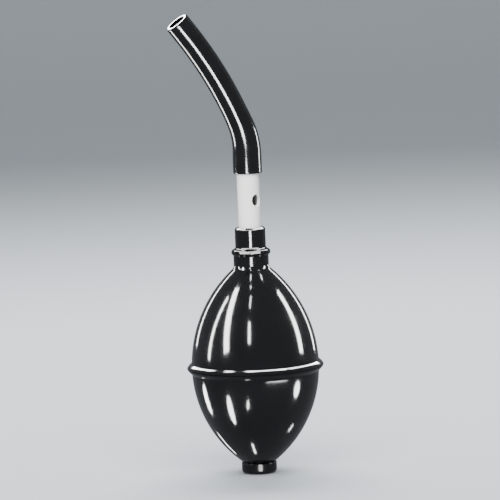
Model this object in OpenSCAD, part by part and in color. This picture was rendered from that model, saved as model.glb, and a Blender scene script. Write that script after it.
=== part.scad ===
// Dust blower with a rubber bulb, a valve tube with a side port, and a curved rubber hose.
// Millimetres. +Z runs up the bulb's axis, and the origin is the centre of the stub's flat foot.

/* [Bulb] */
// Outside diameter of the bulb at its seam, without the seam ring
bulb_d = 50; // [42:0.5:66]
// Height of the upper half, from the seam to the root of the neck
upper_h = 39.1; // [32:0.1:52]
// Height of the lower half, from the stub's top edge to the seam
lower_h = 37.4; // [30:0.1:50]
// Thickness of the moulded rubber wall
wall_t = 2.2; // [1.6:0.1:3]
// How far the seam ring stands out of the bulb
ring_out = 1.8; // [1.2:0.1:3]
// Height of the whole seam ring where it meets the bulb
ring_h = 4.2; // [3:0.1:7]
// Radius of the seam ring's rounded nose
ring_nose = 0.6; // [0.3:0.1:0.9]

/* [Neck] */
// Rubber around the tube at the foot of the neck, below the bead
root_wall = 2.5; // [1.8:0.1:3.5]
// Radius of the hollow curve between the bulb and the neck
root_fillet = 2; // [0.5:0.1:4]
// Height of the bead's centre above the neck's root
bead_up = 6.1; // [4.5:0.1:9]
// Radius of the bead's round section
bead_r = 1.5; // [1:0.1:2.2]
// How far the bead stands out of the foot of the neck
bead_out = 0.7; // [0.3:0.1:1.2]
// Rubber around the tube above the bead
collar_wall = 1.6; // [1.2:0.1:2.4]
// Height of the neck's rim above the bead's centre
collar_up = 9.7; // [6:0.1:14]
// Bevel around the neck's rim
rim_bevel = 0.7; // [0.2:0.1:1]

/* [Base plug] */
// Diameter of the stub under the bulb
stub_d = 13.8; // [12:0.1:18]
// Height of the stub up to the edge where it meets the bulb
stub_h = 4.9; // [4:0.1:8]
// Radius of the stub's lower edge
stub_edge = 1.5; // [0.5:0.1:2]
// Diameter of the plug's waist in the bulb's hole
waist_d = 7.2; // [5:0.1:9]
// How far the plug's inner flange stands out of its waist
plug_lip = 1.5; // [1:0.1:2.5]
// Thickness of the plug's inner flange
plug_flange_t = 2; // [1.5:0.1:3]

/* [Valve tube] */
// Outside diameter of the valve tube
tube_d = 8.8; // [7.4:0.1:11]
// Wall of the tube up to the shoulder that the flap ring stands on
tube_wall = 1.1; // [1:0.1:1.3]
// Wall of the tube above that shoulder
valve_wall = 0.8; // [0.6:0.1:0.9]
// Length of tube below its retaining flange
tail_h = 5.5; // [2:0.1:8]
// How far the retaining flange stands out of the tube
flange_out = 0.9; // [0.5:0.1:1.2]
// Thickness of the retaining flange
flange_t = 2.2; // [1.2:0.1:3]
// Diameter of the side port
port_d = 4.2; // [3:0.1:4.6]
// Depth of the side port's countersink
port_sink = 0.6; // [0.2:0.1:0.7]
// Height of the side port's centre above the neck's rim
port_up = 10.6; // [5:0.1:20]
// Direction that the side port faces
port_turn = -65; // [-180:5:180]
// Length of tube inside the hose
tube_in_hose = 7.5; // [6:0.1:10]

/* [Intake flap] */
// Thickness of the flap
flap_t = 0.6; // [0.4:0.1:0.8]
// How far the flap reaches past the edge of the port
flap_lap = 0.45; // [0.3:0.05:0.5]
// Width of the strap that the flap hangs by
strap_w = 3; // [2:0.1:3.4]
// Length of the strap above the flap
strap_h = 1.7; // [1.2:0.1:3]
// Height of the ring that the flap hangs from
flap_ring_h = 2; // [1.5:0.1:3]

/* [Outlet valve] */
// Diameter of the ball
ball_d = 4.76; // [3.8:0.01:5.8]
// Height that the ball can rise off its seat
ball_rise = 1.55; // [0.8:0.05:2.5]
// Height of the seat bush
seat_h = 3.5; // [2.9:0.1:5]
// Width of the seat's cone inside the ring where the ball touches it
seat_inside = 0.3; // [0.2:0.1:0.5]
// Width of the seat's cone outside that ring
seat_outside = 0.9; // [0.4:0.1:1]
// Diameter of the cross pin that stops the ball
pin_d = 1.2; // [0.8:0.1:1.6]
// Length of tube above the cross pin's centre
pin_down = 2.8; // [2.6:0.1:3.6]

/* [Hose] */
// Diameter of the hose's bore where it is relaxed
hose_bore = 7; // [5.8:0.1:8.4]
// Wall of the hose where it is relaxed
hose_wall = 1.5; // [1:0.1:2.4]
// Wall of the hose where it is stretched over the tube
foot_wall = 1.2; // [0.9:0.1:2]
// Radius of the first bend's centre line
bend_1_r = 28; // [24:1:90]
// Angle of the first bend
bend_1_angle = 22.5; // [10:0.5:60]
// Radius of the second bend's centre line
bend_2_r = 160; // [60:2:300]
// Angle of the second bend
bend_2_angle = 15; // [2:1:40]
// Length of the straight tip
tip_h = 6; // [5:0.1:20]
// Bevel around the tip and the foot of the hose
hose_bevel = 0.4; // [0.1:0.1:0.5]
// How far the tube's hose barb stands out
barb_out = 0.35; // [0.2:0.05:0.5]

/* [Fits] */
// Clearance between the tube and the hose that turns on it
swivel_gap = 0.05; // [0.02:0.01:0.1]
// Clearance between the base plug and the bulb
plug_gap = 0.05; // [0.02:0.01:0.1]
// Clearance between the flap and the tube's bore
flap_gap = 0.05; // [0.02:0.01:0.1]
// Clearance between the flap's strap and the ring it hangs from
strap_gap = 0.1; // [0.05:0.01:0.2]
// Height of the ball above its seat at rest
ball_gap = 0.02; // [0.01:0.01:0.05]

/* [Hidden] */
$fn = 128;

black_rubber = "#141416";
stub_rubber = "#1b1b1d";
flap_rubber = "#3a2a22";
white_plastic = "#f2f1ec";
turned_brass = "#c9a54a";
bright_steel = "#c8ccd0";

// Radii
bulb_r = bulb_d / 2;
tube_r = tube_d / 2;
root_r = tube_r + root_wall;
collar_r = tube_r + collar_wall;
stub_r = stub_d / 2;
waist_r = waist_d / 2;
plug_flange_r = waist_r + plug_lip;
tube_bore_r = tube_r - tube_wall;
valve_bore_r = tube_r - valve_wall;
flange_r = tube_r + flange_out;
port_r = port_d / 2;
ball_r = ball_d / 2;
pin_r = pin_d / 2;
hose_bore_r = hose_bore / 2;
hose_r = hose_bore_r + hose_wall;
foot_bore_r = tube_r + swivel_gap;
foot_r = foot_bore_r + foot_wall;

// Each half's outline is one arc that leaves the seam upright: its centre lies in the seam's plane.
function arc_radius(across, along) = (across * across + along * along) / (2 * across);
// Height of a circle of radius r, centred at c on the seam's plane, above that plane at distance x
function arc_height(r, c, x) = sqrt(r * r - (x - c) * (x - c));
upper_arc = arc_radius(bulb_r - root_r, upper_h);
lower_arc = arc_radius(bulb_r - stub_r, lower_h);
upper_centre = bulb_r - upper_arc;
lower_centre = bulb_r - lower_arc;

// Heights up the bulb and the neck
seam_z = stub_h + lower_h;
root_z = seam_z + upper_h;
bead_z = root_z + bead_up;
rim_z = bead_z + collar_up;
fillet_x = root_r + root_fillet;
fillet_z = seam_z + arc_height(upper_arc + root_fillet, upper_centre, fillet_x);
floor_margin = 0.4;
floor_r = plug_flange_r + floor_margin;
floor_z = seam_z - arc_height(lower_arc - wall_t, lower_centre, floor_r);

// Heights up the valve tube
flange_z = bead_z - flange_t / 2;
tail_z = flange_z - tail_h;
port_z = rim_z + port_up;
flap_r = port_r + flap_lap;
strap_z = port_z + flap_r + strap_h;
shoulder_z = strap_z + strap_gap;
seat_z = shoulder_z + flap_ring_h;
flap_outer_r = tube_bore_r - flap_gap;
flap_inner_r = flap_outer_r - flap_t;

// The ball touches a 45 degree cone on a ring whose radius is touch_r.
touch_r = ball_r * cos(45);
seat_hole_r = touch_r - seat_inside;
cone_r = touch_r + seat_outside;
cone_z = seat_z + seat_h - (cone_r - seat_hole_r);
ball_z = cone_z + seat_inside + touch_r + ball_gap;
pin_z = ball_z + ball_r + ball_rise + pin_r;
tube_top_z = pin_z + pin_down;

// The hose stands straight up to bend_z, and its bore narrows there at 45 degrees.
foot_z = tube_top_z - tube_in_hose;
end_gap = 0.1;
narrow_z = tube_top_z + end_gap;
bend_z = narrow_z + max(foot_bore_r - hose_bore_r, 0) + end_gap;
taper_h = 3.4;
join_lap = 0.3;
join_step = 0.02;
tip_r = hose_r - 2 * join_step;
bend_bore_r = hose_bore_r - 2 * join_step;
barb_r = 0.8;
barb_x = tube_r + barb_out - barb_r;
barb_z = tube_top_z - 1.3;
tube_bevel = 0.3;

// Half of an egg's outline, from the axis to an arc of the given radius about the seam
module half_egg(arc, centre, height) {
    intersection() {
        translate([centre, seam_z])
            circle(r = arc, $fn = 256);
        translate([0, min(seam_z, seam_z + height)])
            square([bulb_r + 1, abs(height)]);
    }
}

// A ring's section in the plane of its axis, with its lower left corner at [x, z]
module band(x, z, width, height) {
    translate([x, z])
        square([width, height]);
}

// A rounded upright band against the axis: radius r from z up to z + height, with one round edge
module round_disc(r, z, height, edge, round_top) {
    edge_z = round_top ? z + height - edge : z + edge;
    band(0, z, r - edge, height);
    band(0, round_top ? z : z + edge, r, height - edge);
    translate([r - edge, edge_z])
        circle(r = edge);
}

// Takes a 45 degree bevel off the corner [x, z]; in_x and in_z are 1 or -1 and point into the solid.
module bevel_cut(x, z, size, in_x, in_z) {
    polygon([
        [x + 2 * in_x * size, z - in_z * size],
        [x - in_x * size, z + 2 * in_z * size],
        [x - in_x * size, z - in_z * size]
    ]);
}

// One half of the seam ring: a flank that runs straight from the bulb onto the rounded nose
module half_ring(side, arc, centre) {
    nose_x = bulb_r + ring_out - ring_nose;
    start = [centre + arc_height(arc, 0, ring_h / 2) - 0.3, ring_h / 2];
    reach = norm([nose_x, 0] - start);
    turn = atan2(-start.y, nose_x - start.x) + asin(ring_nose / reach);
    touch = start + sqrt(reach * reach - ring_nose * ring_nose) * [cos(turn), sin(turn)];
    translate([0, seam_z])
        scale([1, side])
            intersection() {
                union() {
                    polygon([
                        [bulb_r - wall_t / 2, 0],
                        [nose_x, 0],
                        touch,
                        start,
                        [bulb_r - wall_t / 2, ring_h / 2]
                    ]);
                    translate([nose_x, 0])
                        circle(r = ring_nose, $fn = 48);
                }
                square([bulb_r + ring_out, ring_h]);
            }
}

// Hollow curve that blends the bulb into the neck
module root_blend() {
    reach = upper_arc / (upper_arc + root_fillet);
    touch = [
        upper_centre + (fillet_x - upper_centre) * reach,
        seam_z + (fillet_z - seam_z) * reach
    ];
    difference() {
        polygon([[0, touch.y], touch, [fillet_x, fillet_z], [0, fillet_z]]);
        translate([fillet_x, fillet_z])
            circle(r = root_fillet);
    }
}

module bulb_upper_shell() {
    color(black_rubber)
        rotate_extrude()
            difference() {
                union() {
                    half_egg(upper_arc, upper_centre, upper_h);
                    half_ring(1, upper_arc, upper_centre);
                    root_blend();
                    band(0, root_z, root_r, bead_z - root_z);
                    translate([root_r + bead_out - bead_r, bead_z])
                        circle(r = bead_r);
                    band(0, bead_z, collar_r, collar_up);
                }
                half_egg(upper_arc - wall_t, upper_centre, upper_h + bead_up);
                band(0, seam_z, tube_r, rim_z + 1 - seam_z);
                band(0, flange_z, flange_r, flange_t);
                bevel_cut(collar_r, rim_z, rim_bevel, -1, -1);
            }
}

module bulb_lower_shell() {
    color(black_rubber)
        rotate_extrude()
            difference() {
                union() {
                    half_egg(lower_arc, lower_centre, -seam_z);
                    half_ring(-1, lower_arc, lower_centre);
                }
                half_egg(lower_arc - wall_t, lower_centre, floor_z - seam_z);
                band(0, 0, waist_r + plug_gap, seam_z);
            }
}

module base_plug() {
    color(stub_rubber)
        rotate_extrude() {
            difference() {
                round_disc(stub_r, 0, stub_h + 1, stub_edge, false);
                translate([lower_centre, seam_z])
                    circle(r = lower_arc + plug_gap, $fn = 256);
            }
            band(0, stub_edge, waist_r, floor_z - stub_edge + plug_gap);
            round_disc(plug_flange_r, floor_z + plug_gap, plug_flange_t, plug_lip / 2, true);
        }
}

// Places its children at the side port's height, with their Z axis running out through the port
module at_port() {
    rotate([0, 0, port_turn])
        translate([0, 0, port_z])
            rotate([0, 90, 0])
                children();
}

// Places its children at the cross pin's height, with their Z axis along the pin
module at_pin() {
    translate([0, 0, pin_z])
        rotate([0, 90, 0])
            children();
}

module valve_tube() {
    color(white_plastic)
        difference() {
            rotate_extrude()
                difference() {
                    union() {
                        band(0, tail_z, tube_r, tube_top_z - tail_z);
                        band(0, flange_z, flange_r, flange_t);
                        translate([barb_x, barb_z])
                            circle(r = barb_r);
                    }
                    band(0, tail_z - 1, tube_bore_r, shoulder_z - tail_z + 1);
                    band(0, shoulder_z, valve_bore_r, tube_top_z - shoulder_z + 1);
                    bevel_cut(tube_r, tube_top_z, tube_bevel, -1, -1);
                    bevel_cut(tube_r, tail_z, tube_bevel, -1, 1);
                }
            at_port()
                cylinder(r = port_r, h = tube_d);
            at_port()
                translate([0, 0, tube_r - port_sink])
                    cylinder(r1 = port_r, r2 = port_r + 2 * port_sink, h = 2 * port_sink);
            at_pin()
                cylinder(r = pin_r, h = 2 * tube_d, center = true);
        }
}

module flap_ring() {
    color(flap_rubber)
        rotate_extrude()
            band(flap_inner_r, shoulder_z, valve_bore_r - flap_inner_r, flap_ring_h);
}

// The flap is the part of a thin tube that lies behind a disc and its strap, as seen through the port.
module intake_flap() {
    strap_top = strap_z - port_z;
    color(flap_rubber)
        intersection() {
            rotate_extrude()
                band(flap_inner_r, port_z - flap_r - 1, flap_t, strap_z - port_z + flap_r + 1);
            at_port()
                linear_extrude(tube_r)
                    union() {
                        circle(r = flap_r);
                        translate([-strap_top, -strap_w / 2])
                            square([strap_top, strap_w]);
                    }
        }
}

module valve_seat() {
    color(turned_brass)
        rotate_extrude()
            polygon([
                [seat_hole_r, seat_z],
                [valve_bore_r - tube_bevel, seat_z],
                [valve_bore_r, seat_z + tube_bevel],
                [valve_bore_r, seat_z + seat_h],
                [cone_r, seat_z + seat_h],
                [seat_hole_r, cone_z]
            ]);
}

module valve_ball() {
    color(bright_steel)
        translate([0, 0, ball_z])
            sphere(r = ball_r);
}

module ball_stop_pin() {
    pin_inset = 0.15;
    color(bright_steel)
        at_pin()
            cylinder(r = pin_r, h = 2 * (tube_r - pin_inset), center = true);
}

// A bent round bar that starts at the origin along +Z and curls towards -X
module bend(radius, angle, bar_r) {
    translate([-radius, 0, 0])
        rotate([90, 0, 0])
            rotate_extrude(angle = angle, $fn = 256)
                translate([radius, 0])
                    circle(r = bar_r, $fn = 96);
}

// Moves its children from the start of such a bend to its end
module past_bend(radius, angle) {
    translate([radius * cos(angle) - radius, 0, radius * sin(angle)])
        rotate([0, -angle, 0])
            children();
}

// A bar that follows the hose's bends from radius bar_r, and what its children draw at the tip. Each
// length reaches back into the one before it and differs from it by step, so that they join cleanly.
module hose_run(bar_r, step) {
    translate([0, 0, bend_z]) {
        bend(bend_1_r, bend_1_angle, bar_r);
        past_bend(bend_1_r, bend_1_angle) {
            translate([0, 0, -join_lap])
                cylinder(r = bar_r + step, h = join_lap);
            bend(bend_2_r, bend_2_angle, bar_r + step);
            past_bend(bend_2_r, bend_2_angle)
                rotate_extrude()
                    children();
        }
    }
}

module hose() {
    color(black_rubber)
        difference() {
            union() {
                rotate_extrude()
                    difference() {
                        polygon([
                            [0, foot_z],
                            [foot_r, foot_z],
                            [foot_r, bend_z - taper_h],
                            [hose_r, bend_z],
                            [0, bend_z]
                        ]);
                        bevel_cut(foot_r, foot_z, hose_bevel, -1, 1);
                    }
                hose_run(hose_r, -join_step)
                    difference() {
                        band(0, -join_lap, tip_r, tip_h + join_lap);
                        bevel_cut(tip_r, tip_h, hose_bevel, -1, -1);
                    }
            }
            rotate_extrude() {
                band(0, foot_z - 1, foot_bore_r, narrow_z - foot_z + 1);
                polygon([
                    [0, narrow_z - 0.01],
                    [foot_bore_r, narrow_z],
                    [bend_bore_r, bend_z - end_gap],
                    [bend_bore_r, bend_z],
                    [0, bend_z]
                ]);
                translate([barb_x, barb_z])
                    circle(r = barb_r + swivel_gap);
            }
            hose_run(bend_bore_r, join_step)
                band(0, -join_lap, hose_bore_r, tip_h + join_lap + 1);
        }
}

bulb_upper_shell();
bulb_lower_shell();
base_plug();
valve_tube();
flap_ring();
intake_flap();
valve_seat();
valve_ball();
ball_stop_pin();
hose();
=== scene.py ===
"""A dust blower for the bench: a rubber bulb, a white valve tube with a side port, a curved rubber hose.

The bulb is two moulded halves joined at a seam ring, with a stub plugged into its foot. The tube stands in
the bulb's neck and holds the intake flap behind its port and the outlet ball above it. Metres, +Z up the
bulb's axis.
"""

import logging
import math
from dataclasses import dataclass, field
from enum import Enum

import bpy
from mathutils import Matrix, Vector


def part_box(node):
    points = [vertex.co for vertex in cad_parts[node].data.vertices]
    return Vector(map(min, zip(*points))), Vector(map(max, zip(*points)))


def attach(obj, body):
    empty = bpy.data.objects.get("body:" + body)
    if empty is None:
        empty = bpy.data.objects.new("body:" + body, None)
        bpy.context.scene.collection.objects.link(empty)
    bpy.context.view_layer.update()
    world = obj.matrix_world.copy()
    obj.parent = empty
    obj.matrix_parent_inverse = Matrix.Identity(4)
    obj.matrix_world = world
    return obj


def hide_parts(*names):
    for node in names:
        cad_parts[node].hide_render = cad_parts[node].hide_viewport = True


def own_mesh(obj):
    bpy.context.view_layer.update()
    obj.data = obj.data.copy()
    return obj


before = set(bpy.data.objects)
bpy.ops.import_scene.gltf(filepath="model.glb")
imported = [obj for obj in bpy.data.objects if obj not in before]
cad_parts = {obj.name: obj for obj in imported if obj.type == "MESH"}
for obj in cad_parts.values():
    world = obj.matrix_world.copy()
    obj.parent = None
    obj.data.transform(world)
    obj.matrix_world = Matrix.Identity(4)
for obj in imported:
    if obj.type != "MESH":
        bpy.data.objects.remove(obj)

MM = 0.001
FLAT_EDGE = 0.04 * MM  # a narrow step beside each rounding, which keeps the flat next to it flat in its shading
LOG = logging.getLogger("dust_blower")
Point = tuple[float, float]


class Slot(Enum):
    """Names for the rubber material slots, which the pieces here don't use."""

    BULB = "bulb_rubber"
    PLUG = "plug_rubber"
    HOSE = "hose_rubber"


class Lie(Enum):
    """How the fine lines of a surface lie in its texture space."""

    ALL_WAYS = (1.0, 1.0, 1.0)
    ROUND_AXIS = (0.02, 0.02, 1.0)
    ALONG_LENGTH = (1.0, 0.012, 1.0)


# ---------------------------------------------------------------- outlines and meshes


@dataclass
class Outline:
    """An outline in the plane of the axis: x is the distance from the axis, y is the height."""

    points: list[Point] = field(default_factory=list)

    def to(self, x: float, y: float) -> "Outline":
        """Adds a sharp corner."""
        self.points.append((x, y))
        return self

    def arc(self, centre: Point, radius: float, start: float, end: float, steps: int) -> "Outline":
        """Adds a round stretch.

        Args:
            centre: Centre of the arc.
            radius: Radius of the arc.
            start: First angle, in radians.
            end: Last angle, in radians.
            steps: Number of chords.

        Returns:
            The same outline.
        """
        for i in range(steps + 1):
            turn = start + (end - start) * i / steps
            self.points.append((centre[0] + radius * math.cos(turn), centre[1] + radius * math.sin(turn)))
        return self

    def rounded(self, corners: list[tuple[float, float, float]], steps: int = 6) -> "Outline":
        """Adds corners, each rounded by an arc that touches both of its sides.

        The first and last corners only give the directions of their sides, and are added sharp.

        Args:
            corners: x, y and radius of each corner.
            steps: Number of chords in each arc.

        Returns:
            The same outline.
        """
        self.to(corners[0][0], corners[0][1])
        for before, here, after in zip(corners, corners[1:], corners[2:]):
            corner = Vector(here[:2])
            back = (Vector(before[:2]) - corner).normalized()
            onward = (Vector(after[:2]) - corner).normalized()
            half = back.angle(onward) / 2
            if here[2] <= 0 or half > math.radians(89):
                self.to(corner.x, corner.y)
                continue
            setback = here[2] / math.tan(half)
            centre = corner + (back + onward).normalized() * (here[2] / math.sin(half))
            first = corner + back * setback - centre
            last = corner + onward * setback - centre
            turn = first.angle_signed(last)
            lead, trail = corner + back * (setback + FLAT_EDGE), corner + onward * (setback + FLAT_EDGE)
            self.to(lead.x, lead.y)
            for i in range(steps + 1):
                spoke = first.copy()
                spoke.rotate(Matrix.Rotation(-turn * i / steps, 2))
                self.to(centre.x + spoke.x, centre.y + spoke.y)
            self.to(trail.x, trail.y)
        self.to(corners[-1][0], corners[-1][1])
        return self


def build_mesh(name: str, points: list[Vector], faces: list[list[int]], uvs: dict[int, Point]) -> bpy.types.Object:
    """Makes an object from points and faces, smooth except where its faces meet at a clear angle.

    Args:
        name: Name of the new object.
        points: Its vertices.
        faces: Vertex numbers of each face.
        uvs: Texture coordinate of each vertex number; vertices without one get (0, 0).

    Returns:
        The new object, linked to the scene.
    """
    mesh = bpy.data.meshes.new(name)
    mesh.from_pydata(points, [], faces)
    mesh.validate()
    layer = mesh.uv_layers.new(name="surface")
    for loop in mesh.loops:
        layer.data[loop.index].uv = uvs.get(loop.vertex_index, (0.0, 0.0))
    mesh.polygons.foreach_set("use_smooth", [True] * len(mesh.polygons))
    mesh.set_sharp_from_angle(angle=math.radians(38))
    piece = bpy.data.objects.new(name, mesh)
    bpy.context.scene.collection.objects.link(piece)
    return piece


def lathe(name: str, outline: Outline, columns: int = 192) -> bpy.types.Object:
    """Turns a closed outline about the Z axis.

    Args:
        name: Name of the new object.
        outline: The section; points on the axis become single vertices.
        columns: Number of steps in a full turn.

    Returns:
        The new object.
    """
    section = [p for p, q in zip(outline.points, outline.points[-1:] + outline.points[:-1]) if math.dist(p, q) > 1e-7]
    points: list[Vector] = []
    uvs: dict[int, Point] = {}
    rows: list[list[int]] = []
    for x, z in section:
        turns = 1 if x < 1e-7 else columns
        rows.append(list(range(len(points), len(points) + turns)))
        for column in range(turns):
            angle = 2 * math.pi * column / columns
            uvs[len(points)] = (angle * x, z)
            points.append(Vector((x * math.cos(angle), x * math.sin(angle), z)))
    faces = []
    for row, above in zip(rows, rows[1:] + rows[:1]):
        if len(row) == 1 and len(above) == 1:
            continue
        for a in range(columns):
            b = (a + 1) % columns
            corners = [row[a % len(row)], row[b % len(row)], above[b % len(above)], above[a % len(above)]]
            faces.append(list(dict.fromkeys(corners)))
    return build_mesh(name, points, faces, uvs)


# ---------------------------------------------------------------- shader node groups


class NodeSheet:
    """A node tree with short ways to add and join nodes."""

    def __init__(self, tree: bpy.types.NodeTree) -> None:
        """Keeps the tree."""
        self.tree = tree

    def add(self, kind: str, settings: dict[str, object] | None = None, **sockets: object) -> bpy.types.Node:
        """Adds a node.

        Args:
            kind: Blender's name of the node type, without its ShaderNode prefix.
            settings: Properties of the node.
            **sockets: Values of its input sockets, or sockets to link to them, by name with _ for spaces.

        Returns:
            The node.
        """
        node = self.tree.nodes.new(kind if kind.startswith("Node") else "ShaderNode" + kind)
        for key, value in (settings or {}).items():
            setattr(node, key, value)
        for key, value in sockets.items():
            by_number = key[0] == "i" and key[1:].isdigit()
            socket = node.inputs[int(key[1:]) if by_number else key.replace("_", " ")]
            self.put(socket, value)
        return node

    def put(self, socket: bpy.types.NodeSocket, value: object) -> None:
        """Links an output socket to a socket, or sets a plain value on it."""
        if isinstance(value, bpy.types.NodeSocket):
            self.tree.links.new(value, socket)
        else:
            socket.default_value = value

    def sum(self, kind: str, a: object, b: object, clamp: bool = False) -> bpy.types.NodeSocket:
        """Adds a Math node of the given kind and returns its result."""
        return self.add("Math", {"operation": kind, "use_clamp": clamp}, i0=a, i1=b).outputs[0]


def new_group(
    name: str, inputs: dict[str, tuple[str, object]], output: str
) -> tuple[NodeSheet, bpy.types.Node, bpy.types.Node]:
    """Starts a shader node group.

    Args:
        name: Name of the group.
        inputs: Socket kind and default value of each input, by name.
        output: Name of its one output, a value.

    Returns:
        Its sheet, its input node and its output node.
    """
    tree = bpy.data.node_groups.new(name, "ShaderNodeTree")
    for key, (kind, default) in inputs.items():
        socket = tree.interface.new_socket(key, in_out="INPUT", socket_type=kind)
        if kind == "NodeSocketFloat":
            socket.default_value = default
    tree.interface.new_socket(output, in_out="OUTPUT", socket_type="NodeSocketFloat")
    sheet = NodeSheet(tree)
    return sheet, sheet.add("NodeGroupInput"), sheet.add("NodeGroupOutput")


class Effects:
    """The surface effects that the finishes share, each a node group that is built once."""

    def __init__(self) -> None:
        """Builds every group."""
        self.mottle = self.build_mottle()
        self.grain = self.build_grain()
        self.rubbed = self.build_rubbed()
        self.dust = self.build_dust()

    @staticmethod
    def build_mottle() -> bpy.types.ShaderNodeTree:
        """Soft cloudy patches, such as finger marks and bloom on rubber: 0 to 1."""
        floats = {"Scale": ("NodeSocketFloat", 60.0), "Sharpness": ("NodeSocketFloat", 0.5)}
        sheet, ins, outs = new_group("cloudy_patches", {"Coordinate": ("NodeSocketVector", None), **floats}, "Mask")
        noise = sheet.add(
            "TexNoise", Vector=ins.outputs["Coordinate"], Scale=ins.outputs["Scale"], Detail=4.0, Roughness=0.55,
            Distortion=0.6,
        )
        low = sheet.sum("MULTIPLY", ins.outputs["Sharpness"], 0.5)
        high = sheet.sum("SUBTRACT", 1.0, low)
        spread = sheet.add("MapRange", i0=noise.outputs["Fac"], i1=low, i2=high)
        sheet.put(outs.inputs["Mask"], spread.outputs[0])
        return sheet.tree

    @staticmethod
    def build_grain() -> bpy.types.ShaderNodeTree:
        """Fine lines or orange peel, as a height: 0 to 1."""
        floats = {"Scale": ("NodeSocketFloat", 1500.0), "Waviness": ("NodeSocketFloat", 0.0)}
        sheet, ins, outs = new_group("fine_grain", {"Coordinate": ("NodeSocketVector", None), **floats}, "Height")
        fine = sheet.add("TexNoise", Vector=ins.outputs["Coordinate"], Scale=ins.outputs["Scale"], Detail=3.0)
        broad_scale = sheet.sum("MULTIPLY", ins.outputs["Scale"], 0.17)
        broad = sheet.add("TexNoise", Vector=ins.outputs["Coordinate"], Scale=broad_scale, Detail=1.0)
        waves = sheet.sum("MULTIPLY", broad.outputs["Fac"], ins.outputs["Waviness"])
        sheet.put(outs.inputs["Height"], sheet.sum("ADD", fine.outputs["Fac"], waves))
        return sheet.tree

    @staticmethod
    def build_rubbed() -> bpy.types.ShaderNodeTree:
        """Outer edges that handling has rubbed, broken up by noise: 0 to 1."""
        floats = {"Start": ("NodeSocketFloat", 0.53), "Full": ("NodeSocketFloat", 0.6)}
        sheet, ins, outs = new_group("rubbed_edges", {"Coordinate": ("NodeSocketVector", None), **floats}, "Mask")
        geometry = sheet.add("NewGeometry")
        noise = sheet.add("TexNoise", Vector=ins.outputs["Coordinate"], Scale=420.0, Detail=3.0)
        edge = sheet.add(
            "MapRange", i0=geometry.outputs["Pointiness"], i1=ins.outputs["Start"], i2=ins.outputs["Full"],
        )
        broken = sheet.add("MapRange", i0=noise.outputs["Fac"], i1=0.35, i2=0.65)
        sheet.put(outs.inputs["Mask"], sheet.sum("MULTIPLY", edge.outputs[0], broken.outputs[0]))
        return sheet.tree

    @staticmethod
    def build_dust() -> bpy.types.ShaderNodeTree:
        """Specks that settle on what faces up: 0 to 1."""
        floats = {"Scale": ("NodeSocketFloat", 900.0), "Cover": ("NodeSocketFloat", 0.3)}
        sheet, ins, outs = new_group("settled_dust", {"Coordinate": ("NodeSocketVector", None), **floats}, "Mask")
        normal = sheet.add("SeparateXYZ", Vector=sheet.add("NewGeometry").outputs["Normal"])
        facing = sheet.add("MapRange", i0=normal.outputs["Z"], i1=0.1, i2=0.9)
        noise = sheet.add("TexNoise", Vector=ins.outputs["Coordinate"], Scale=ins.outputs["Scale"], Detail=5.0)
        floor = sheet.sum("SUBTRACT", 0.78, sheet.sum("MULTIPLY", ins.outputs["Cover"], 0.25))
        specks = sheet.add("MapRange", i0=noise.outputs["Fac"], i1=floor, i2=0.8)
        sheet.put(outs.inputs["Mask"], sheet.sum("MULTIPLY", facing.outputs[0], specks.outputs[0]))
        return sheet.tree


# ---------------------------------------------------------------- finishes


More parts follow.
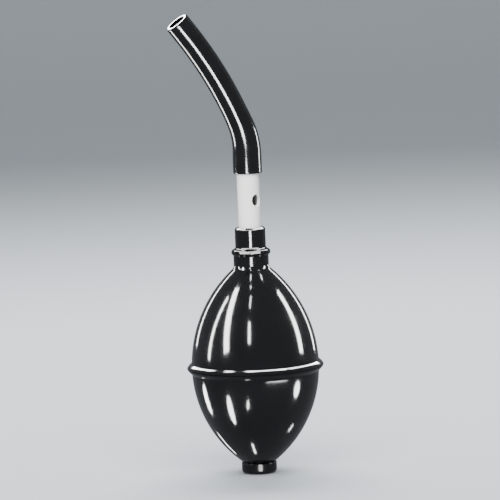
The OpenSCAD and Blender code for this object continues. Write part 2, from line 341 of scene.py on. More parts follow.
@dataclass(frozen=True)
class Finish:
    """One surface finish, as a procedural material."""

    name: str
    base: tuple[float, float, float]
    worn: tuple[float, float, float]
    roughness: float
    roughness_spread: float
    grain_scale: float
    grain_height: float
    grain_waviness: float = 0.0
    lie: Lie = Lie.ALL_WAYS
    mottle_scale: float = 60.0
    tint_spread: float = 0.25
    wear: float = 0.5
    dust: float = 0.3
    metallic: float = 0.0
    specular: float = 0.5
    coat: float = 0.0
    coat_roughness: float = 0.05
    ior: float = 1.5
    from_uv: bool = False

    def material(self, effects: Effects) -> bpy.types.Material:
        """Builds the material.

        Args:
            effects: The shared node groups.

        Returns:
            The new material.
        """
        made = bpy.data.materials.new(self.name)
        made.use_nodes = True
        made.node_tree.nodes.clear()
        sheet = NodeSheet(made.node_tree)
        place = sheet.add("TexCoord")
        solid = place.outputs["Object"]
        lines = sheet.add("Mapping", Vector=place.outputs["UV"] if self.from_uv else solid, Scale=self.lie.value)

        mottle = self.place_group(sheet, effects.mottle, solid, Scale=self.mottle_scale, Sharpness=0.6)
        grain = self.place_group(
            sheet, effects.grain, lines.outputs[0], Scale=self.grain_scale, Waviness=self.grain_waviness,
        )
        rubbed = self.place_group(sheet, effects.rubbed, solid, Start=0.53, Full=0.6)
        dust = self.place_group(sheet, effects.dust, solid, Scale=900.0, Cover=self.dust)

        darker = tuple(c * (1 - self.tint_spread) for c in self.base)
        colour = self.mix(sheet, mottle, (*darker, 1), (*self.base, 1))
        colour = self.mix(sheet, sheet.sum("MULTIPLY", rubbed, self.wear), colour, (*self.worn, 1))
        dust_amount = sheet.sum("MULTIPLY", dust, self.dust)
        colour = self.mix(sheet, dust_amount, colour, (0.42, 0.41, 0.39, 1))

        spread = sheet.sum("MULTIPLY", sheet.sum("SUBTRACT", mottle, 0.5), self.roughness_spread)
        rough = sheet.sum("ADD", spread, self.roughness)
        rough = sheet.sum("ADD", rough, sheet.sum("MULTIPLY", rubbed, 0.25 * self.wear))
        rough = sheet.sum("ADD", rough, sheet.sum("MULTIPLY", dust_amount, 0.5), clamp=True)
        bump = sheet.add("Bump", Strength=1.0, Distance=self.grain_height, Height=grain)

        shader = sheet.add("BsdfPrincipled", Base_Color=colour, Roughness=rough, Normal=bump.outputs[0])
        shader.inputs["Metallic"].default_value = self.metallic
        shader.inputs["IOR"].default_value = self.ior
        shader.inputs["Specular IOR Level"].default_value = self.specular
        shader.inputs["Coat Weight"].default_value = self.coat
        shader.inputs["Coat Roughness"].default_value = self.coat_roughness
        sheet.add("OutputMaterial", Surface=shader.outputs[0])
        return made

    @staticmethod
    def place_group(
        sheet: NodeSheet, group: bpy.types.ShaderNodeTree, where: bpy.types.NodeSocket, **values: float,
    ) -> bpy.types.NodeSocket:
        """Places a shared group in a material and returns its output.

        Args:
            sheet: The material's sheet.
            group: The shared group.
            where: The coordinate that it reads.
            **values: Its other inputs.

        Returns:
            The group's one output socket.
        """
        node = sheet.add("Group", {"node_tree": group}, Coordinate=where, **values)
        return node.outputs[0]

    @staticmethod
    def mix(sheet: NodeSheet, share: object, a: object, b: object) -> bpy.types.NodeSocket:
        """Mixes two colours by a share and returns the result."""
        node = sheet.add("Mix", {"data_type": "RGBA"})
        sheet.put(node.inputs[0], share)
        sheet.put(node.inputs[6], a)
        sheet.put(node.inputs[7], b)
        return node.outputs[2]


BULB_RUBBER = Finish(
    "glossy_moulded_rubber", (0.008, 0.008, 0.009), (0.04, 0.04, 0.042), 0.1, 0.06, 700.0, 0.000006,
    grain_waviness=1.5, mottle_scale=55.0, wear=0.35, dust=0.2, coat=0.3, coat_roughness=0.03, ior=1.5,
)
PLUG_RUBBER = Finish(
    "satin_moulded_rubber", (0.009, 0.009, 0.01), (0.05, 0.05, 0.05), 0.2, 0.08, 900.0, 0.00002,
    mottle_scale=160.0, wear=0.5, dust=0.2, coat=0.15, coat_roughness=0.12, ior=1.52,
)
HOSE_RUBBER = Finish(
    "glossy_extruded_rubber", (0.008, 0.008, 0.009), (0.04, 0.04, 0.042), 0.12, 0.06, 2600.0, 0.000006,
    lie=Lie.ALONG_LENGTH, mottle_scale=120.0, wear=0.4, dust=0.2, coat=0.3, coat_roughness=0.05, ior=1.52,
    from_uv=True,
)
FLAP_RUBBER = Finish(
    "soft_flap_rubber", (0.028, 0.024, 0.022), (0.06, 0.05, 0.045), 0.3, 0.1, 1500.0, 0.00001,
    mottle_scale=400.0, wear=0.2, dust=0.1, ior=1.5,
)
WHITE_PLASTIC = Finish(
    "white_turned_plastic", (0.86, 0.85, 0.82), (0.8, 0.78, 0.73), 0.3, 0.1, 2600.0, 0.000008,
    lie=Lie.ROUND_AXIS, mottle_scale=150.0, tint_spread=0.03, wear=0.3, dust=0.05, coat=0.1, ior=1.48,
)
TURNED_BRASS = Finish(
    "turned_brass", (0.68, 0.5, 0.22), (0.8, 0.66, 0.38), 0.28, 0.1, 5000.0, 0.000006,
    lie=Lie.ROUND_AXIS, mottle_scale=300.0, wear=0.4, dust=0.0, metallic=1.0,
)
POLISHED_STEEL = Finish(
    "polished_steel", (0.62, 0.63, 0.65), (0.75, 0.75, 0.76), 0.12, 0.06, 3000.0, 0.000002,
    mottle_scale=400.0, tint_spread=0.06, wear=0.2, dust=0.0, metallic=1.0,
)


def dress(piece: bpy.types.Object, finish: Finish, effects: Effects) -> None:
    """Gives a piece its material.

    Args:
        piece: The piece.
        finish: Its finish; one material is made for each finish and shared.
        effects: The shared node groups.
    """
    material = bpy.data.materials.get(finish.name) or finish.material(effects)
    piece.data.materials.clear()
    piece.data.materials.append(material)


def dress_node(node: str, finish: Finish, effects: Effects) -> None:
    """Gives a carried-over node its finish by its material slots.

    Args:
        node: Name of the node.
        finish: Its finish.
        effects: The shared node groups.
    """
    material = bpy.data.materials.get(finish.name) or finish.material(effects)
    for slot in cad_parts[node].material_slots:
        slot.material = material


# ---------------------------------------------------------------- sub-assemblies


@dataclass(frozen=True)
class Spot:
    """A spot on the skin of a piece: where it is, and which way the skin faces."""

    place: Vector
    normal: Vector


@dataclass
class Bulb:
    """The two moulded halves of the bulb."""

    radius: float = 25 * MM
    wall: float = 2.2 * MM
    ring_nose: float = 0.6 * MM
    ring_half_height: float = 2.1 * MM
    ring_blend: float = 0.7 * MM
    nose_turn: float = 30.0
    parting: float = 0.12 * MM
    root_radius: float = 6.9 * MM
    root_fillet: float = 2.0 * MM
    bead_radius: float = 7.6 * MM
    bead_height: float = 87.5 * MM
    collar_radius: float = 6.0 * MM
    rim_bevel: float = 0.7 * MM
    tube_radius: float = 4.4 * MM
    stub_radius: float = 6.9 * MM
    stub_height: float = 4.9 * MM
    upper_height: float = 39.1 * MM
    hole_radius: float = 3.65 * MM
    floor_radius: float = 5.5 * MM
    squeeze: float = 15 * MM
    pieces: list[bpy.types.Object] = field(default_factory=list)

    def __post_init__(self) -> None:
        """Reads the seam, the rim and the ring from the frame, and works out the two arcs."""
        low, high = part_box("bulb_upper_shell")
        self.seam = low[2]
        self.rim = high[2]
        self.ring_radius = high[0]
        self.upper_arc = self.arc_radius(self.radius - self.root_radius, self.upper_height)
        self.lower_arc = self.arc_radius(self.radius - self.stub_radius, self.seam - self.stub_height)
        fillet_across = self.root_radius + self.root_fillet - (self.radius - self.upper_arc)
        self.neck_foot = self.seam + math.sqrt((self.upper_arc + self.root_fillet) ** 2 - fillet_across**2)

    @staticmethod
    def arc_radius(across: float, along: float) -> float:
        """Radius of an arc that leaves the seam upright and moves in by across over a height of along."""
        return (across * across + along * along) / (2 * across)

    def half_ring(self, arc: float) -> Outline:
        """The seam ring's section above the seam, from its parting line to the bulb's arc.

        Args:
            arc: Radius of the bulb's arc on this side.

        Returns:
            The stretch of outline, with heights measured from the seam.
        """
        nose = (self.ring_radius - self.ring_nose, 0.0)
        on_bulb = self.radius - arc + math.sqrt(arc**2 - self.ring_half_height**2)
        leave = math.radians(self.nose_turn)
        stretch = Outline().to(self.ring_radius - 2 * self.parting, 0.0)
        stretch.arc(nose, self.ring_nose, math.asin(self.parting / self.ring_nose), leave, 8)
        tip = Vector(stretch.points[-1])
        onward = Vector((-math.sin(leave), math.cos(leave)))
        chord = Vector((on_bulb, self.ring_half_height)) - tip
        bend = onward.angle(chord)
        flank = chord.length / (2 * math.sin(bend))
        centre = tip - Vector((math.cos(leave), math.sin(leave))) * flank
        last = leave + 2 * bend
        stretch.arc(tuple(centre), flank, leave, last - self.ring_blend / flank, 14)
        before = stretch.points[-1]
        above = self.ring_half_height + self.ring_blend
        bulb_above = self.radius - arc + math.sqrt(arc**2 - above**2)
        foot = (on_bulb, self.ring_half_height)
        for i in range(1, 7):
            t = i / 6
            weights = (1 - t) ** 2, 2 * t * (1 - t), t * t
            stretch.to(*(sum(w * p[k] for w, p in zip(weights, (before, foot, (bulb_above, above)))) for k in (0, 1)))
        return stretch

    def build_ring(self) -> bpy.types.Object:
        """Builds the seam ring, with the fine parting line round its nose."""
        upper, lower = self.half_ring(self.upper_arc).points, self.half_ring(self.lower_arc).points
        outline = Outline([(x, self.seam - y) for x, y in reversed(lower)])
        outline.points += [(x, self.seam + y) for x, y in upper]
        inside = self.radius - self.wall / 2
        outline.to(inside, self.seam + upper[-1][1]).to(inside, self.seam - lower[-1][1])
        return lathe("bulb_seam_ring", outline, 256)

    def build_upper(self) -> bpy.types.Object:
        """Builds the upper half up to the foot of its neck."""
        arc, centre = self.upper_arc, (self.radius - self.upper_arc, self.seam)
        fillet_x, fillet_z = self.root_radius + self.root_fillet, self.neck_foot
        touch = math.atan2(fillet_z - self.seam, fillet_x - centre[0])
        outline = Outline().arc(centre, arc, 0.0, touch, 52)
        outline.arc((fillet_x, fillet_z), self.root_fillet, touch + math.pi, math.pi, 8)
        inner, bore = arc - self.wall, self.tube_radius + 0.02 * MM
        mouth = math.acos((bore - centre[0]) / inner)
        outline.to(self.root_radius, fillet_z + FLAT_EDGE).to(self.root_radius - FLAT_EDGE, fillet_z + FLAT_EDGE)
        outline.to(bore, fillet_z + FLAT_EDGE).arc(centre, inner, mouth, 0.0, 40)
        return lathe("bulb_upper_half", outline, 256)

    def build_neck(self) -> bpy.types.Object:
        """Builds the neck with its bead and collar."""
        bead, collar, bore = self.bead_height, self.collar_radius, self.tube_radius + 0.02 * MM
        foot = self.neck_foot + FLAT_EDGE
        outline = Outline().rounded([
            (bore, foot, 0.0),
            (self.root_radius, foot, 0.0),
            (self.root_radius, foot + FLAT_EDGE, 0.0),
            (self.root_radius, bead - 1.35 * MM, 0.45 * MM),
            (self.bead_radius + 0.16 * MM, bead - 0.5 * MM, 0.75 * MM),
            (self.bead_radius - 0.1 * MM, bead + 0.75 * MM, 0.8 * MM),
            (collar, bead + 1.7 * MM, 0.7 * MM),
            (collar, self.rim - self.rim_bevel, 0.3 * MM),
            (collar - self.rim_bevel, self.rim, 0.3 * MM),
            (bore, self.rim, 0.15 * MM),
            (bore, self.rim - 1 * MM, 0.0),
        ])
        return lathe("bulb_neck", outline, 256)

    def build_lower(self) -> bpy.types.Object:
        """Builds the lower half, with the hole that the stub plugs."""
        arc, centre = self.lower_arc, (self.radius - self.lower_arc, self.seam)
        hole = math.acos((self.hole_radius - centre[0]) / arc)
        outline = Outline().arc(centre, arc, 0.0, -hole, 60)
        inner = arc - self.wall
        floor = math.acos((self.floor_radius - centre[0]) / inner)
        outline.to(self.hole_radius, self.seam - inner * math.sin(floor))
        outline.arc(centre, inner, -floor, 0.0, 40)
        return lathe("bulb_lower_half", outline, 256)

    def skin(self, level: Vector, right: Vector, side: float, tilt: float) -> Spot:
        """Finds a spot on the bulb by the way that its skin faces.

        Args:
            level: The level direction that side is counted from.
            right: The level direction to its right.
            side: Turn of the skin's facing to the right, in degrees.
            tilt: Lift of the skin's facing above the level, in degrees; below the seam it is negative.

        Returns:
            The spot.
        """
        side, tilt = math.radians(side), math.radians(tilt)
        out = level * math.cos(side) + right * math.sin(side)
        arc = self.upper_arc if tilt > 0 else self.lower_arc
        place = out * (self.radius - arc + arc * math.cos(tilt)) + Vector((0, 0, self.seam + arc * math.sin(tilt)))
        return Spot(place, out * math.cos(tilt) + Vector((0, 0, math.sin(tilt))))

    def ring_skin(self, level: Vector, right: Vector, side: float, tilt: float) -> Spot:
        """Finds a spot on the ring's upper flank, with the arguments of skin."""
        spot = self.skin(level, right, side, tilt)
        out = (spot.normal - Vector((0, 0, spot.normal.z))).normalized()
        return Spot(out * self.ring_radius + Vector((0, 0, self.seam + self.ring_half_height / 2)), spot.normal)

    def rim_skin(self, level: Vector, right: Vector, side: float, tilt: float) -> Spot:
        """Finds a spot on the roundings of the collar's rim and of the bead, with the arguments of skin."""
        spot = self.skin(level, right, side, tilt)
        out = (spot.normal - Vector((0, 0, spot.normal.z))).normalized()
        return Spot(out * self.collar_radius + Vector((0, 0, self.rim)), spot.normal)

    def dress(self, effects: Effects) -> None:
        """Builds both halves, the ring and the neck, and fixes them to the bulb.

        Args:
            effects: The shared node groups.
        """
        for build, node in (
            (self.build_upper, "bulb_upper_shell"),
            (self.build_lower, "bulb_lower_shell"),
            (self.build_ring, "bulb_upper_shell"),
            (self.build_neck, "bulb_upper_shell"),
        ):
            piece = build()
            dress(piece, BULB_RUBBER, effects)
            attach(piece, "bulb")
            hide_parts(node)
            if node == "bulb_lower_shell":
                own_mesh(piece)
            self.pieces.append(piece)
            LOG.info("built %s", piece.name)


@dataclass
class BasePlug:
    """The rubber stub that plugs the bulb's foot, with its inner flange."""

    stub_edge: float = 1.5 * MM
    top_edge: float = 0.4 * MM
    waist: float = 3.6 * MM
    flange: float = 5.1 * MM
    flange_thickness: float = 2.0 * MM
    gap: float = 0.05 * MM
    pieces: list[bpy.types.Object] = field(default_factory=list)

    def build(self, bulb: Bulb) -> bpy.types.Object:
        """Builds the plug.

        Args:
            bulb: The bulb that its top face lies against.

        Returns:
            The new piece.
        """
        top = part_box("base_plug")[1][2]
        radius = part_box("base_plug")[1][0]
        arc, centre = bulb.lower_arc + self.gap, (bulb.radius - bulb.lower_arc, bulb.seam)
        edge = math.acos((radius - centre[0]) / arc)
        edge_z = bulb.seam - arc * math.sin(edge)
        slope = math.pi / 2 - edge
        lip = (radius - 0.9 * MM, edge_z - 0.9 * MM * math.tan(slope))
        outline = Outline().rounded([
            (0.0, 0.0, 0.0),
            (radius, 0.0, self.stub_edge),
            (radius, edge_z, self.top_edge),
            (*lip, 0.0),
        ])
        waist = math.acos((self.waist - centre[0]) / arc)
        start = math.acos((lip[0] - 0.4 * MM - centre[0]) / arc)
        outline.arc(centre, arc, -start, -waist, 10)
        shelf = top - self.flange_thickness
        outline.rounded([
            (self.waist, shelf - 0.5 * MM, 0.0),
            (self.waist, shelf, 0.1 * MM),
            (self.flange, shelf, 0.2 * MM),
            (self.flange, top, 0.75 * MM),
            (0.0, top, 0.0),
        ])
        return lathe("base_plug_stub", outline, 160)

    def dress(self, bulb: Bulb, effects: Effects) -> None:
        """Builds the plug and lets it move with the squeeze.

        Args:
            bulb: The bulb that it plugs.
            effects: The shared node groups.
        """
        piece = self.build(bulb)
        dress(piece, PLUG_RUBBER, effects)
        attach(piece, "plug")
        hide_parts("base_plug")
        self.pieces.append(piece)
        LOG.info("built %s", piece.name)


@dataclass
class Hose:
    """The curved hose, stretched over the tube at its foot and cut square at its tip."""

    bore: float = 3.5 * MM
    radius: float = 4.94 * MM
    foot_bore: float = 4.45 * MM
    straight: float = 8.65 * MM
    first_bend: tuple[float, float] = (28 * MM, math.radians(22.5))
    second_bend: tuple[float, float] = (160 * MM, math.radians(15))
    tip: float = 6 * MM
    edge: float = 0.45 * MM
    tip_edge: float = 0.62 * MM
    swell_from: float = 3.5 * MM
    swell_length: float = 24 * MM
    columns: int = 96
    pieces: list[bpy.types.Object] = field(default_factory=list)

    def __post_init__(self) -> None:
        """Reads the foot from the frame and lays out the centre line's lengths."""
        low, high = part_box("hose")
        self.foot = low[2]
        self.foot_radius = high[0]
        self.lengths = [
            self.straight,
            self.first_bend[0] * self.first_bend[1],
            self.second_bend[0] * self.second_bend[1],
            self.tip,
        ]
        self.bend_radii = [None, self.first_bend[0], self.second_bend[0], None]
        self.length = sum(self.lengths)

    def place(self, along: float) -> tuple[Vector, float]:
        """Finds a place on the centre line.

        Args:
            along: Distance from the foot; beyond either end the line goes straight on.

        Returns:
            The point, and the angle that the line leans over there.
        """
        point, lean = Vector((0, 0, self.foot)), 0.0
        for number, length in enumerate(self.lengths):
            part = along if number == len(self.lengths) - 1 else min(along, length)
            onward = Vector((-math.sin(lean), 0, math.cos(lean)))
            radius = self.bend_radii[number]
            if radius is None:
                point += part * onward
            else:
                turn = part / radius
                side = Vector((-math.cos(lean), 0, -math.sin(lean)))
                point += radius * ((1 - math.cos(turn)) * side + math.sin(turn) * onward)
                lean += turn
            along -= part
            if along <= 0:
                break
        return point, lean

    def outer_radius(self, along: float) -> float:
        """Radius of the skin: widest over the tube, easing to the relaxed hose."""
        share = min(max((along - self.swell_from) / self.swell_length, 0.0), 1.0)
        ease = (1 - share) ** 2 * (1 + 2 * share)
        return self.radius + (self.foot_radius - self.radius) * ease

    def skin(self, toward: Vector, side: float, share: float) -> Spot:
        """Finds a spot on the hose.

        Args:
            toward: The direction that side is counted from.
            side: Turn of the skin's facing to the right about the hose, in degrees.
            share: How far along the hose the spot is: 0 at the foot, 1 at the tip.

        Returns:
            The spot.
        """
        side = math.radians(side)
        centre, lean = self.place(share * self.length)
        axis = Vector((-math.sin(lean), 0, math.cos(lean)))
        facing = (toward - toward.dot(axis) * axis).normalized()
        normal = facing * math.cos(side) + axis.cross(facing) * math.sin(side)
        return Spot(centre + normal * self.outer_radius(share * self.length), normal)

    def end_face(self) -> Spot:
        """The middle of the square cut end."""
        centre, lean = self.place(self.length)
        return Spot(centre, Vector((-math.sin(lean), 0, math.cos(lean))))

    def stations(self) -> list[tuple[float, float]]:
        """Distance and radius of every ring, up the outside and down the bore."""
        section = Outline()
        foot_r, edge, end = self.foot_radius, self.edge, self.length
        section.rounded([
            (self.foot_bore + 0.2 * MM, 0.0, 0.0),
            (foot_r, 0.0, edge),
            (foot_r, 1.5 * MM, 0.0),
        ])
        steps = 90
        for i in range(1, steps):
            along = 1.5 * MM + (end - 2.5 * MM) * i / steps
            section.to(self.outer_radius(along), along)
        section.rounded([
            (self.radius, end - 1.0 * MM, 0.0),
            (self.radius, end, self.tip_edge),
            (self.bore, end, 0.15 * MM),
            (self.bore, end - 1.0 * MM, 0.0),
        ])
        for i in range(1, steps):
            along = end - 1.0 * MM - (end - 1.0 * MM - self.straight) * i / steps
            section.to(self.bore, along)
        section.to(self.bore, self.straight)
        section.to(self.foot_bore, self.straight - 1 * MM)
        section.to(self.foot_bore, 0.2 * MM)
        return [(y, x) for x, y in section.points]

    def build(self) -> bpy.types.Object:
        """Builds the hose as rings along its centre line."""
        points: list[Vector] = []
        uvs: dict[int, Point] = {}
        rows: list[list[int]] = []
        for along, radius in self.stations():
            centre, lean = self.place(along)
            side = Vector((math.cos(lean), 0, math.sin(lean)))
            rows.append(list(range(len(points), len(points) + self.columns)))
            for column in range(self.columns):
                angle = 2 * math.pi * column / self.columns
                uvs[len(points)] = (abs(angle - math.pi) * self.radius, along)
                points.append(centre + radius * (side * math.cos(angle) + Vector((0, math.sin(angle), 0))))
        faces = []
        for row, after in zip(rows, rows[1:] + rows[:1]):
            for a in range(self.columns):
                b = (a + 1) % self.columns
                faces.append([row[a], row[b], after[b], after[a]])
        return build_mesh("rubber_hose", points, faces, uvs)

    def dress(self, effects: Effects) -> None:
        """Builds the hose and lets it turn on the tube.

        Args:
            effects: The shared node groups.
        """
        piece = self.build()
        dress(piece, HOSE_RUBBER, effects)
        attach(piece, "spout")
        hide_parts("hose")
        self.pieces.append(piece)
        LOG.info("built %s", piece.name)


@dataclass
class ValveParts:
    """The tube and what it holds, which keep their own shapes and get finishes."""

    finishes: dict[str, Finish] = field(default_factory=lambda: {
        "valve_tube": WHITE_PLASTIC,
        "flap_ring": FLAP_RUBBER,
        "intake_flap": FLAP_RUBBER,
        "valve_seat": TURNED_BRASS,
        "valve_ball": POLISHED_STEEL,
        "ball_stop_pin": POLISHED_STEEL,
    })

    def dress(self, effects: Effects) -> None:
        """Gives every carried-over piece its finish.

        Args:
            effects: The shared node groups.
        """
        for node, finish in self.finishes.items():
            dress_node(node, finish, effects)
            LOG.info("dressed %s", node)


# ---------------------------------------------------------------- studio


class Role(Enum):
    """What a light does: whether it lights matt surfaces, and whether glossy ones mirror it."""

    FILL = (True, False)
    HIGHLIGHT = (False, True)


@dataclass(frozen=True)
class Highlight:
    """A long light whose mirror image runs from one spot of a piece to another.

    A spot is the side that the skin faces, in degrees to the camera's right, and how far up or along the piece
    it is, which each sub-assembly counts in its own way.
    """

    name: str
    first: Point
    last: Point
    width: float
    glow: float
    shape: str = "RECTANGLE"


@dataclass
class Studio:
    """The floor, the lights and the camera."""

    azimuth: float = -20.0
    elevation: float = 6.4
    roll: float = 2.3
    lens: float = 250.0
    view_width: float = 0.1955
    aim_height: float = 88.1 * MM
    aim_aside: float = 0.3 * MM
    light_distance: float = 0.5
    on_bulb: tuple[Highlight, ...] = (
        Highlight("left_thin_line", (-46.5, 5), (-37, 34), 0.04, 60),
        Highlight("left_wide_line", (-27, 9), (-26, 39), 0.085, 65),
        Highlight("centre_line", (-5, 13), (-4.5, 22.5), 0.035, 60),
        Highlight("centre_dash", (-4, 29), (-2.5, 35), 0.022, 40),
        Highlight("centre_dot", (-2.5, 38.6), (-2.5, 40.2), 0.022, 40),
        Highlight("centre_top_dash", (-2.5, 43), (-2.5, 46), 0.022, 40),
        Highlight("right_top_dash", (21, 43), (22, 46), 0.022, 40),
        Highlight("right_line", (47.5, 6.5), (41, 36), 0.075, 55),
        Highlight("left_rim_line", (-70, 9), (-58, 51), 0.035, 25),
        Highlight("right_rim_line", (71, 5), (60, 52), 0.035, 25),
        Highlight("under_ring_line", (9, -4), (30, -4), 0.012, 45),
        Highlight("left_wedge", (-55, -7), (-53, -22), 0.09, 45, "ELLIPSE"),
        Highlight("left_inner_wedge", (-27, -11), (-25, -26), 0.08, 60, "ELLIPSE"),
        Highlight("centre_wedge", (-8, -13), (-9, -18), 0.03, 55, "ELLIPSE"),
        Highlight("right_wedge", (41, -6), (39, -14), 0.1, 55, "ELLIPSE"),
        Highlight("low_right_dash", (44, -29), (40, -32), 0.02, 40),
        Highlight("low_centre_dash", (-9, -38), (-6, -45), 0.025, 40),
        Highlight("low_left_edge", (-60, -34), (-52, -47), 0.02, 25),
    )
    on_ring: tuple[Highlight, ...] = (
        Highlight("ring_left_line", (-72, 46), (-40, 46), 0.09, 35),
        Highlight("ring_dash", (-28, 46), (-20, 46), 0.09, 50),
        Highlight("ring_middle_line", (-8, 46), (28, 46), 0.1, 50),
        Highlight("ring_right_line", (30, 46), (72, 46), 0.1, 35),
    )
    on_rim: tuple[Highlight, ...] = (
        Highlight("rim_left_line", (-62, 45), (-22, 45), 0.1, 30),
        Highlight("rim_middle_line", (-22, 45), (22, 45), 0.1, 30),
        Highlight("rim_right_line", (22, 45), (62, 45), 0.1, 30),
        Highlight("bead_left_line", (-36, 19), (-2, 19), 0.36, 25),
        Highlight("bead_right_line", (-2, 19), (30, 19), 0.36, 25),
    )
    on_hose: tuple[Highlight, ...] = (
        Highlight("hose_left_line", (-53, -0.06), (-53, 0.97), 0.09, 35),
        Highlight("hose_centre_line", (-6, 0.04), (-6, 0.95), 0.12, 60),
        Highlight("hose_right_line", (57, -0.02), (57, 0.3), 0.07, 30),
    )
    on_necks: tuple[Highlight, ...] = (
        Highlight("collar_line", (0, 76 * MM), (0, 112 * MM), 0.12, 60),
        Highlight("stub_line", (4, -22 * MM), (4, 26 * MM), 0.2, 60),
        Highlight("stub_left_line", (-50, -18 * MM), (-50, 22 * MM), 0.09, 50),
    )

    def __post_init__(self) -> None:
        """Works out the level direction back to the camera, its right, and the line back to the camera."""
        turn, tilt = math.radians(self.azimuth), math.radians(self.elevation)
        self.level = Vector((math.sin(turn), -math.cos(turn), 0))
        self.right = Vector((math.cos(turn), math.sin(turn), 0))
        self.back = self.level * math.cos(tilt) + Vector((0, 0, math.sin(tilt)))

    def add_floor(self) -> None:
        """Adds a pale floor that curves up into a backdrop, and that glossy pieces don't mirror."""
        front, reach, bend, top, half = 1.6, 1.5, 0.6, 2.4, 3.0
        line = [(front, 0.0)]
        line += [(-reach - bend * math.sin(a), bend - bend * math.cos(a)) for a in
                 (math.pi / 2 * i / 24 for i in range(25))]
        line.append((-reach - bend, top))
        points = [self.level * x + self.right * side + Vector((0, 0, z)) for x, z in line for side in (-half, half)]
        faces = [[2 * i, 2 * i + 1, 2 * i + 3, 2 * i + 2] for i in range(len(line) - 1)]
        floor = build_mesh("studio_floor", points, faces, {})
        paper = bpy.data.materials.new("pale_paper")
        paper.use_nodes = True
        shader = paper.node_tree.nodes["Principled BSDF"]
        shader.inputs["Base Color"].default_value = (0.7, 0.75, 0.79, 1)
        shader.inputs["Roughness"].default_value = 0.8
        shader.inputs["Specular IOR Level"].default_value = 0.0
        floor.data.materials.append(paper)
        floor.visible_glossy = False
        floor.visible_shadow = False

    def mirrored(self, spot: Spot) -> Vector:
        """Finds where a light must stand for the camera to see its mirror image at a spot."""
        onward = 2 * spot.normal.dot(self.back) * spot.normal - self.back
        return spot.place + onward * self.light_distance

    def add_light(self, line: Highlight, low: Vector, high: Vector, target: Vector, role: Role = Role.HIGHLIGHT,
                  pieces: list[bpy.types.Object] | None = None) -> None:
        """Adds a light between two places, facing the object.

        Args:
            line: Its name, width, brightness and outline.
            low: Middle of one end.
            high: Middle of the other end.
            target: The place that it faces.
            role: What it lights.
            pieces: The only pieces that it lights; None for all.
        """
        length = (high - low).length
        data = bpy.data.lights.new(line.name, "AREA")
        data.shape = line.shape
        data.size, data.size_y = line.width, length
        area = line.width * length * (math.pi / 4 if line.shape == "ELLIPSE" else 1)
        data.energy = line.glow * math.pi * area
        lamp = bpy.data.objects.new(line.name, data)
        middle = (low + high) / 2
        along = (high - low).normalized()
        away = (middle - target).normalized()
        across = along.cross(away).normalized()
        facing = across.cross(along)
        lamp.location = middle
        lamp.rotation_mode = "QUATERNION"
        lamp.rotation_quaternion = Matrix((across, along, facing)).transposed().to_quaternion()
        lamp.visible_camera = False
        lamp.visible_diffuse, lamp.visible_glossy = role.value
        if pieces is not None:
            lit = bpy.data.collections.new("lit_by_" + line.name)
            for piece in pieces:
                lit.objects.link(piece)
            lamp.light_linking.receiver_collection = lit
        bpy.context.scene.collection.objects.link(lamp)

    def add_lights(self, bulb: Bulb, plug: BasePlug, hose: Hose) -> None:
        """Adds the soft lights and the pale surroundings.

        Args:
            bulb: The bulb that the first highlights run along.
            plug: The stub under it.
            hose: The hose that the others run along.
        """
        up = Vector((0, 0, 1))
        halves, ring, neck = bulb.pieces[:2], bulb.pieces[2:3], bulb.pieces[3:]
        for line in self.on_bulb:
            first, last = (bulb.skin(self.level, self.right, side, tilt) for side, tilt in (line.first, line.last))
            self.add_light(line, self.mirrored(first), self.mirrored(last), first.place, pieces=halves)
        for lines, skin, pieces in (
            (self.on_ring, bulb.ring_skin, ring),
            (self.on_rim, bulb.rim_skin, neck),
        ):
            for line in lines:
                first, last = (skin(self.level, self.right, side, tilt) for side, tilt in (line.first, line.last))
                self.add_light(line, self.mirrored(first), self.mirrored(last), first.place, pieces=pieces)
        for line in self.on_hose:
            first, last = (hose.skin(self.back, side, share) for side, share in (line.first, line.last))
            self.add_light(line, self.mirrored(first), self.mirrored(last), first.place, pieces=hose.pieces)
        for line in self.on_necks:
            side = math.radians(line.first[0])
            out = self.level * math.cos(side) + self.right * math.sin(side)
            spots = (Spot(up * z + out * bulb.collar_radius, out) for _, z in (line.first, line.last))
            low, high = (self.mirrored(spot) for spot in spots)
            self.add_light(line, low, high, low - self.back, pieces=neck + plug.pieces)
        face = hose.end_face()
        middle, half = self.mirrored(face), self.right * 0.05
        tip_light = Highlight("hose_tip_light", (0, 1), (0, 1), 0.08, 32)
        self.add_light(tip_light, middle - half, middle + half, face.place, pieces=hose.pieces)
        aim = up * 80 * MM
        rear = aim - self.level * 0.5 + up * 0.75
        soft = Highlight("rear_top", (0, 0), (0, 0), 0.5, 9)
        self.add_light(soft, rear - self.right * 0.5, rear + self.right * 0.5, aim, Role.FILL)
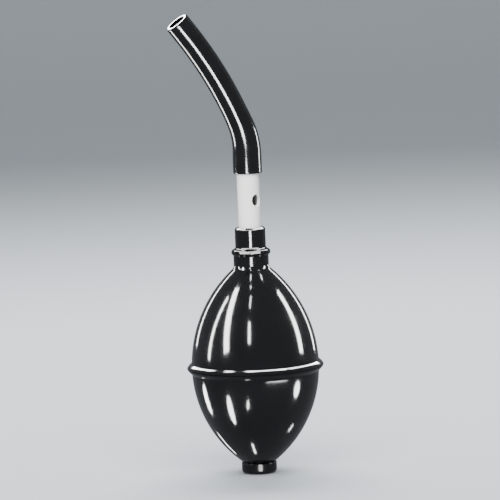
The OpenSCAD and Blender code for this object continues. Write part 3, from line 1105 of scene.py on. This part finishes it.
        front = aim + self.level * 0.9 + up * 1.1
        soft = Highlight("tube_fill", (0, 0), (0, 0), 0.4, 22)
        beside = aim + self.level * 0.8 + up * 0.35 - self.right * 0.25
        tube = [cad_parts["valve_tube"]]
        self.add_light(soft, beside - self.right * 0.25, beside + self.right * 0.25, aim, Role.FILL, tube)
        soft = Highlight("front_fill", (0, 0), (0, 0), 0.9, 5.5)
        self.add_light(soft, front - self.right * 0.8, front + self.right * 0.8, aim, Role.FILL)
        world = bpy.data.worlds.new("pale_room")
        world.use_nodes = True
        background = world.node_tree.nodes["Background"]
        background.inputs["Color"].default_value = (0.86, 0.91, 0.96, 1)
        background.inputs["Strength"].default_value = 0.22
        bpy.context.scene.world = world

    def add_camera(self) -> None:
        """Adds the camera, with a long lens and a slight roll."""
        data = bpy.data.cameras.new("camera")
        data.lens = self.lens
        data.clip_start, data.clip_end = 0.01, 20
        distance = self.view_width * self.lens / data.sensor_width
        camera = bpy.data.objects.new("camera", data)
        target = Vector((0, 0, self.aim_height)) - self.right * self.aim_aside
        camera.location = target + self.back * distance
        camera.rotation_mode = "QUATERNION"
        upright = (-self.back).to_track_quat("-Z", "Y")
        camera.rotation_quaternion = Matrix.Rotation(math.radians(-self.roll), 3, self.back).to_quaternion() @ upright
        bpy.context.scene.collection.objects.link(camera)
        bpy.context.scene.camera = camera

    def build(self, bulb: Bulb, plug: BasePlug, hose: Hose) -> None:
        """Builds the whole studio around the finished object.

        Args:
            bulb: The bulb.
            plug: The stub under it.
            hose: The hose.
        """
        self.add_camera()
        self.add_floor()
        self.add_lights(bulb, plug, hose)


def main() -> None:
    """Builds every sub-assembly in order."""
    logging.basicConfig(level=logging.INFO, format="%(name)s: %(message)s")
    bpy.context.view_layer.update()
    effects = Effects()
    bulb, plug, hose = Bulb(), BasePlug(), Hose()
    bulb.dress(effects)
    plug.dress(bulb, effects)
    ValveParts().dress(effects)
    hose.dress(effects)
    Studio().build(bulb, plug, hose)


if __name__ == "__main__":
    main()
